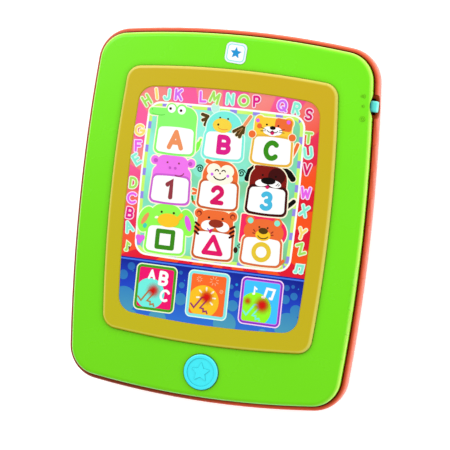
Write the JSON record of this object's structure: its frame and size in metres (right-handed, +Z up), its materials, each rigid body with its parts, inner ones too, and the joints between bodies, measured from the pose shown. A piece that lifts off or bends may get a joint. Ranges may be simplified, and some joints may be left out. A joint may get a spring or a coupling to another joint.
{
  "type": "toy tablet",
  "caption": "Toddler's toy tablet: bowed casing with a framed printed touch screen, round press button, side slide switch and a battery door on the back.",
  "frame": {"origin": "under the middle of the body, on the plane that the rubber feet stand on; the tablet lies on its back", "axes": "+X to the right, +Y towards the top edge of the screen, +Z up out of the screen"},
  "size_m": [0.1966, 0.241, 0.0238],
  "materials": {
    "orange_shell": "satin moulded",
    "green_shell": "gloss moulded",
    "zinc_steel": "zinc plated",
    "dark_rubber": "matte",
    "sticker_film": "gloss print",
    "yellow_frame": "gloss, slightly translucent",
    "printed_film": "gloss print",
    "clear_film": "clear film",
    "tail_film": "film",
    "white_plastic": "matte moulded",
    "cyan_plastic": "gloss moulded",
    "grey_rubber": "matte",
    "board_laminate": "solder mask",
    "black_plastic": "matte moulded",
    "aqua_plastic": "gloss moulded",
    "tinned_steel": "tinned",
    "black_epoxy": "gloss",
    "component_black": "matte",
    "red_lens": "clear red",
    "magnet_grey": "ferrite",
    "paper_cone": "pressed paper",
    "cell_wrap": "printed wrap",
    "nickel_steel": "nickel plated",
    "grey_foam": "open foam",
    "wire_red": "insulation"
  },
  "bodies": {
    "casing": {"rear_casing": "orange_shell", "front_casing": "green_shell", "casing_screws": "zinc_steel", "rubber_feet": "dark_rubber", "badge_sticker": "sticker_film", "screen_bezel": "yellow_frame", "printed_overlay": "printed_film", "membrane_top": "clear_film", "membrane_spacer": "clear_film", "membrane_bottom": "clear_film", "membrane_tail": "tail_film", "backing_plate": "white_plastic", "plate_screws": "zinc_steel", "button_dome": "grey_rubber", "button_board": "board_laminate", "button_board_screws": "zinc_steel", "switch_escutcheon": "black_plastic", "slide_switch_body": "tinned_steel", "switch_screws": "zinc_steel", "main_pcb": "board_laminate", "pcb_screws": "zinc_steel", "ic_blob": "black_epoxy", "pcb_components": "component_black", "led_board": "board_laminate", "leds": "red_lens", "speaker_frame": "tinned_steel", "speaker_magnet": "magnet_grey", "speaker_cone": "paper_cone", "speaker_retainer": "black_plastic", "speaker_screws": "zinc_steel", "battery_upper": "cell_wrap", "battery_middle": "cell_wrap", "battery_lower": "cell_wrap", "battery_springs": "nickel_steel", "battery_plates": "nickel_steel", "speaker_wires": "wire_red", "battery_wires": "wire_red"},
    "home_button": {"home_button": "cyan_plastic"},
    "power_slide": {"slide_knob": "aqua_plastic", "switch_slider": "black_plastic"},
    "battery_door": {"battery_door": "orange_shell", "door_foam_pad": "grey_foam"},
    "door_screw_left": {"door_screw_left": "zinc_steel"},
    "door_screw_right": {"door_screw_right": "zinc_steel"}
  },
  "joints": [
    {"name": "home_button_press", "type": "slide", "parent": "casing", "child": "home_button", "axis": [0, 0, -1], "range_m": [0, 0.0015], "stiffness_N_per_m": 1200, "deforming": ["button_dome"]},
    {"name": "power_slide_move", "type": "slide", "parent": "casing", "child": "power_slide", "axis": [0, 1, 0], "range_m": [-0.003, 0.003]},
    {"name": "battery_door_lift", "type": "slide", "parent": "casing", "child": "battery_door", "axis": [0, 0, -1], "range_m": [0, 0.03]},
    {"name": "door_screw_left_turn", "type": "hinge", "parent": "battery_door", "child": "door_screw_left", "pos_m": [-0.033, -0.046, 0.001], "axis": [0, 0, -1], "continuous": true},
    {"name": "door_screw_right_turn", "type": "hinge", "parent": "battery_door", "child": "door_screw_right", "pos_m": [0.033, -0.046, 0.001], "axis": [0, 0, -1], "continuous": true}
  ]
}
